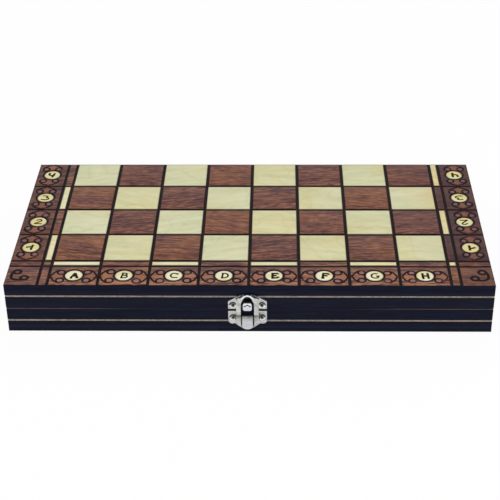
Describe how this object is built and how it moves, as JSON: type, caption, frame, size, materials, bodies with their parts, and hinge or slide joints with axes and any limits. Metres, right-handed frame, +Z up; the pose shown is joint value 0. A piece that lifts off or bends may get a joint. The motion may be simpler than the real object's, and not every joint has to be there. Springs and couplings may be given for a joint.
{
  "type": "folding games box",
  "caption": "Folding wooden chess, draughts and backgammon box with veneered board, hinged halves, spring hasp and its playing pieces inside.",
  "frame": {"origin": "centre of the closed box's footprint, on the face it rests on", "axes": "+X along the box to the right, -Y out of the front with the latch, +Z up"},
  "size_m": [0.35, 0.1826, 0.041],
  "materials": {
    "black_wood": "black-stained wood, satin",
    "dark_veneer": "reddish-brown veneer, satin",
    "light_veneer": "pale maple veneer, satin",
    "field_veneer": "pale birch veneer, satin",
    "red_veneer": "red-stained veneer, satin",
    "nickel": "stamped steel, nickel plated",
    "brass": "brass-plated steel",
    "light_piece": "turned boxwood, satin lacquer",
    "dark_piece": "turned and stained wood, satin lacquer",
    "dice": "ivory plastic"
  },
  "bodies": {
    "lower_case": {"lower_board": "black_wood", "lower_dark_squares": "dark_veneer", "lower_light_squares": "light_veneer", "lower_dark_strips": "dark_veneer", "lower_light_strips": "light_veneer", "lower_border": "dark_veneer", "lower_medallions": "light_veneer", "lower_front_rail": "black_wood", "lower_back_rail": "black_wood", "lower_left_rail": "black_wood", "lower_right_rail": "black_wood", "lower_field": "field_veneer", "lower_dark_points": "dark_veneer", "lower_red_points": "red_veneer", "left_hinge_lower_leaf": "brass", "right_hinge_lower_leaf": "brass", "left_hinge_pin": "brass", "right_hinge_pin": "brass", "lower_hinge_screws": "brass", "hasp_plate": "nickel", "hasp_pin": "nickel", "lower_latch_nails": "nickel", "white_king": "light_piece", "white_queen": "light_piece", "white_bishops": "light_piece", "white_knights": "light_piece", "white_rooks": "light_piece", "white_pawns": "light_piece", "black_king": "dark_piece", "black_queen": "dark_piece", "black_bishops": "dark_piece", "black_knights": "dark_piece", "black_rooks": "dark_piece", "black_pawns": "dark_piece", "light_draughts": "light_piece", "dark_draughts": "dark_piece", "dice": "dice"},
    "lid": {"upper_board": "black_wood", "upper_dark_squares": "dark_veneer", "upper_light_squares": "light_veneer", "upper_dark_strips": "dark_veneer", "upper_light_strips": "light_veneer", "upper_border": "dark_veneer", "upper_medallions": "light_veneer", "upper_front_rail": "black_wood", "upper_back_rail": "black_wood", "upper_left_rail": "black_wood", "upper_right_rail": "black_wood", "upper_field": "field_veneer", "upper_dark_points": "dark_veneer", "upper_red_points": "red_veneer", "left_hinge_upper_leaf": "brass", "right_hinge_upper_leaf": "brass", "upper_hinge_screws": "brass", "catch_plate": "nickel", "upper_latch_nails": "nickel"},
    "hasp": {"hasp": "nickel"}
  },
  "joints": [
    {"name": "lid_hinge", "type": "hinge", "parent": "lower_case", "child": "lid", "pos_m": [0, 0.08765, 0.0205], "axis": [-1, 0, 0], "range_deg": [0, 180]},
    {"name": "hasp_pivot", "type": "hinge", "parent": "lower_case", "child": "hasp", "pos_m": [-0.001, -0.0901, 0.0144], "axis": [1, 0, 0], "range_deg": [0, 20], "stiffness_Nm_per_rad": 0.02}
  ]
}
